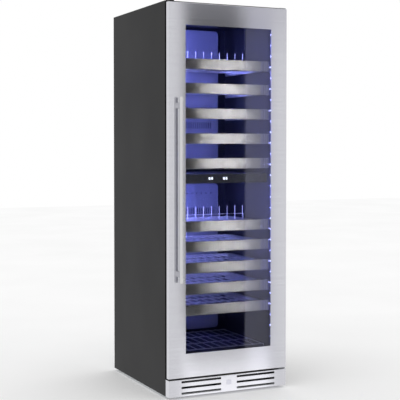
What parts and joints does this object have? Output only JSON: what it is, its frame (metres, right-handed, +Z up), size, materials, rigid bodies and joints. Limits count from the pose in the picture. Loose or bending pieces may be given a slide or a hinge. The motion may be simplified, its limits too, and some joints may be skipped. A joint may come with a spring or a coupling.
{
  "type": "wine cooler",
  "caption": "Tall dual-zone wine cooler with a right-hinged glass door, bar handle, sliding wire shelves with metal fronts, zone divider with touch controls and slotted toe grille.",
  "frame": {"origin": "on the floor, at the bottom centre of the overall box, handle and hinge cap included", "axes": "+Z up, the door faces -Y, hinges on the +X side"},
  "size_m": [0.595, 0.722, 1.769],
  "materials": {
    "black_painted_steel": "satin powder coat",
    "galvanised_steel": "zinc coated",
    "zinc_steel": "bright zinc",
    "stainless": "brushed along its length",
    "chrome_wire": "bright chrome plate",
    "fin_aluminium": "mill",
    "black_plastic": "matte moulded",
    "gloss_black_plastic": "gloss",
    "liner_plastic": "satin vacuum-formed",
    "foam": "rigid foam",
    "led_lens": "diffuse, lit from within",
    "lens_glass": "gloss touch lens",
    "glass": "lightly tinted insulating glass",
    "rubber": "matte",
    "gasket_rubber": "soft matte"
  },
  "bodies": {
    "root": {"side_panel_left": "black_painted_steel", "side_panel_right": "black_painted_steel", "top_panel": "black_painted_steel", "back_panel": "galvanised_steel", "insulation": "foam", "liner": "liner_plastic", "front_frame": "black_painted_steel", "zone_divider": "liner_plastic", "control_panel": "gloss_black_plastic", "display_lens": "lens_glass", "duct_covers": "liner_plastic", "evaporators": "fin_aluminium", "led_strips": "led_lens", "slide_rails": "zinc_steel", "floor_rack": "chrome_wire", "base_pan": "galvanised_steel", "compressor": "black_painted_steel", "compressor_mounts": "rubber", "condenser_coil": "fin_aluminium", "condenser_shroud": "black_plastic", "mains_inlet": "black_plastic", "toe_grille": "stainless", "hinge_brackets": "black_painted_steel", "hinge_hole_cover": "black_plastic"},
    "door": {"door_frame": "stainless", "door_inner_frame": "black_plastic", "glazing_unit": "glass", "door_gasket": "gasket_rubber", "handle_bar": "stainless", "handle_posts": "stainless"},
    "slide_middles": {"slide_middles": "zinc_steel"},
    "upper_fan": {"upper_fan": "black_plastic"},
    "lower_fan": {"lower_fan": "black_plastic"},
    "condenser_fan": {"condenser_fan": "black_plastic"},
    "shelf_01": {"shelf_01_rack": "chrome_wire", "shelf_01_front": "stainless", "shelf_01_bottle_rest": "chrome_wire"},
    "shelf_02": {"shelf_02_rack": "chrome_wire", "shelf_02_front": "stainless"},
    "shelf_03": {"shelf_03_rack": "chrome_wire", "shelf_03_front": "stainless"},
    "shelf_04": {"shelf_04_rack": "chrome_wire", "shelf_04_front": "stainless"},
    "shelf_05": {"shelf_05_rack": "chrome_wire", "shelf_05_front": "stainless"},
    "shelf_06": {"shelf_06_rack": "chrome_wire", "shelf_06_front": "stainless", "shelf_06_bottle_rest": "chrome_wire"},
    "shelf_07": {"shelf_07_rack": "chrome_wire", "shelf_07_front": "stainless"},
    "shelf_08": {"shelf_08_rack": "chrome_wire", "shelf_08_front": "stainless"},
    "shelf_09": {"shelf_09_rack": "chrome_wire", "shelf_09_front": "stainless"},
    "shelf_10": {"shelf_10_rack": "chrome_wire", "shelf_10_front": "stainless"},
    "foot_front_left": {"foot_front_left": "black_plastic"},
    "foot_front_right": {"foot_front_right": "black_plastic"},
    "foot_back_left": {"foot_back_left": "black_plastic"},
    "foot_back_right": {"foot_back_right": "black_plastic"}
  },
  "joints": [
    {"name": "door_hinge", "type": "hinge", "parent": "root", "child": "door", "pos_m": [0.287, -0.305, 0.9], "axis": [0, 0, 1], "range_deg": [0, 120]},
    {"name": "slide_middles_slide", "type": "slide", "parent": "root", "child": "slide_middles", "axis": [0, -1, 0], "range_m": [0, 0.09]},
    {"name": "shelf_01_slide", "type": "slide", "parent": "root", "child": "shelf_01", "axis": [0, -1, 0], "range_m": [0, 0.17]},
    {"name": "shelf_02_slide", "type": "slide", "parent": "root", "child": "shelf_02", "axis": [0, -1, 0], "range_m": [0, 0.17]},
    {"name": "shelf_03_slide", "type": "slide", "parent": "root", "child": "shelf_03", "axis": [0, -1, 0], "range_m": [0, 0.17]},
    {"name": "shelf_04_slide", "type": "slide", "parent": "root", "child": "shelf_04", "axis": [0, -1, 0], "range_m": [0, 0.17]},
    {"name": "shelf_05_slide", "type": "slide", "parent": "root", "child": "shelf_05", "axis": [0, -1, 0], "range_m": [0, 0.17]},
    {"name": "shelf_06_slide", "type": "slide", "parent": "root", "child": "shelf_06", "axis": [0, -1, 0], "range_m": [0, 0.17]},
    {"name": "shelf_07_slide", "type": "slide", "parent": "root", "child": "shelf_07", "axis": [0, -1, 0], "range_m": [0, 0.17]},
    {"name": "shelf_08_slide", "type": "slide", "parent": "root", "child": "shelf_08", "axis": [0, -1, 0], "range_m": [0, 0.17]},
    {"name": "shelf_09_slide", "type": "slide", "parent": "root", "child": "shelf_09", "axis": [0, -1, 0], "range_m": [0, 0.17]},
    {"name": "shelf_10_slide", "type": "slide", "parent": "root", "child": "shelf_10", "axis": [0, -1, 0], "range_m": [0, 0.17]},
    {"name": "upper_fan_spin", "type": "hinge", "parent": "root", "child": "upper_fan", "pos_m": [0, 0.236, 1.11], "axis": [0, 1, 0], "continuous": true},
    {"name": "lower_fan_spin", "type": "hinge", "parent": "root", "child": "lower_fan", "pos_m": [0, 0.236, 0.64], "axis": [0, 1, 0], "continuous": true},
    {"name": "condenser_fan_spin", "type": "hinge", "parent": "root", "child": "condenser_fan", "pos_m": [-0.11, -0.12, 0.08], "axis": [0, 1, 0], "continuous": true},
    {"name": "foot_front_left_screw", "type": "hinge", "parent": "root", "child": "foot_front_left", "pos_m": [-0.245, -0.23, 0], "axis": [0, 0, 1], "continuous": true},
    {"name": "foot_front_right_screw", "type": "hinge", "parent": "root", "child": "foot_front_right", "pos_m": [0.245, -0.23, 0], "axis": [0, 0, 1], "continuous": true},
    {"name": "foot_back_left_screw", "type": "hinge", "parent": "root", "child": "foot_back_left", "pos_m": [-0.245, 0.315, 0], "axis": [0, 0, 1], "continuous": true},
    {"name": "foot_back_right_screw", "type": "hinge", "parent": "root", "child": "foot_back_right", "pos_m": [0.245, 0.315, 0], "axis": [0, 0, 1], "continuous": true}
  ],
  "couplings": [
    {"joint": "slide_middles_slide", "follows": "door_hinge", "m_per_rad": 0.04},
    {"joint": "shelf_01_slide", "follows": "door_hinge", "m_per_rad": 0.08},
    {"joint": "shelf_02_slide", "follows": "door_hinge", "m_per_rad": 0.08},
    {"joint": "shelf_03_slide", "follows": "door_hinge", "m_per_rad": 0.08},
    {"joint": "shelf_04_slide", "follows": "door_hinge", "m_per_rad": 0.08},
    {"joint": "shelf_05_slide", "follows": "door_hinge", "m_per_rad": 0.08},
    {"joint": "shelf_06_slide", "follows": "door_hinge", "m_per_rad": 0.08},
    {"joint": "shelf_07_slide", "follows": "door_hinge", "m_per_rad": 0.08},
    {"joint": "shelf_08_slide", "follows": "door_hinge", "m_per_rad": 0.08},
    {"joint": "shelf_09_slide", "follows": "door_hinge", "m_per_rad": 0.08},
    {"joint": "shelf_10_slide", "follows": "door_hinge", "m_per_rad": 0.08}
  ]
}
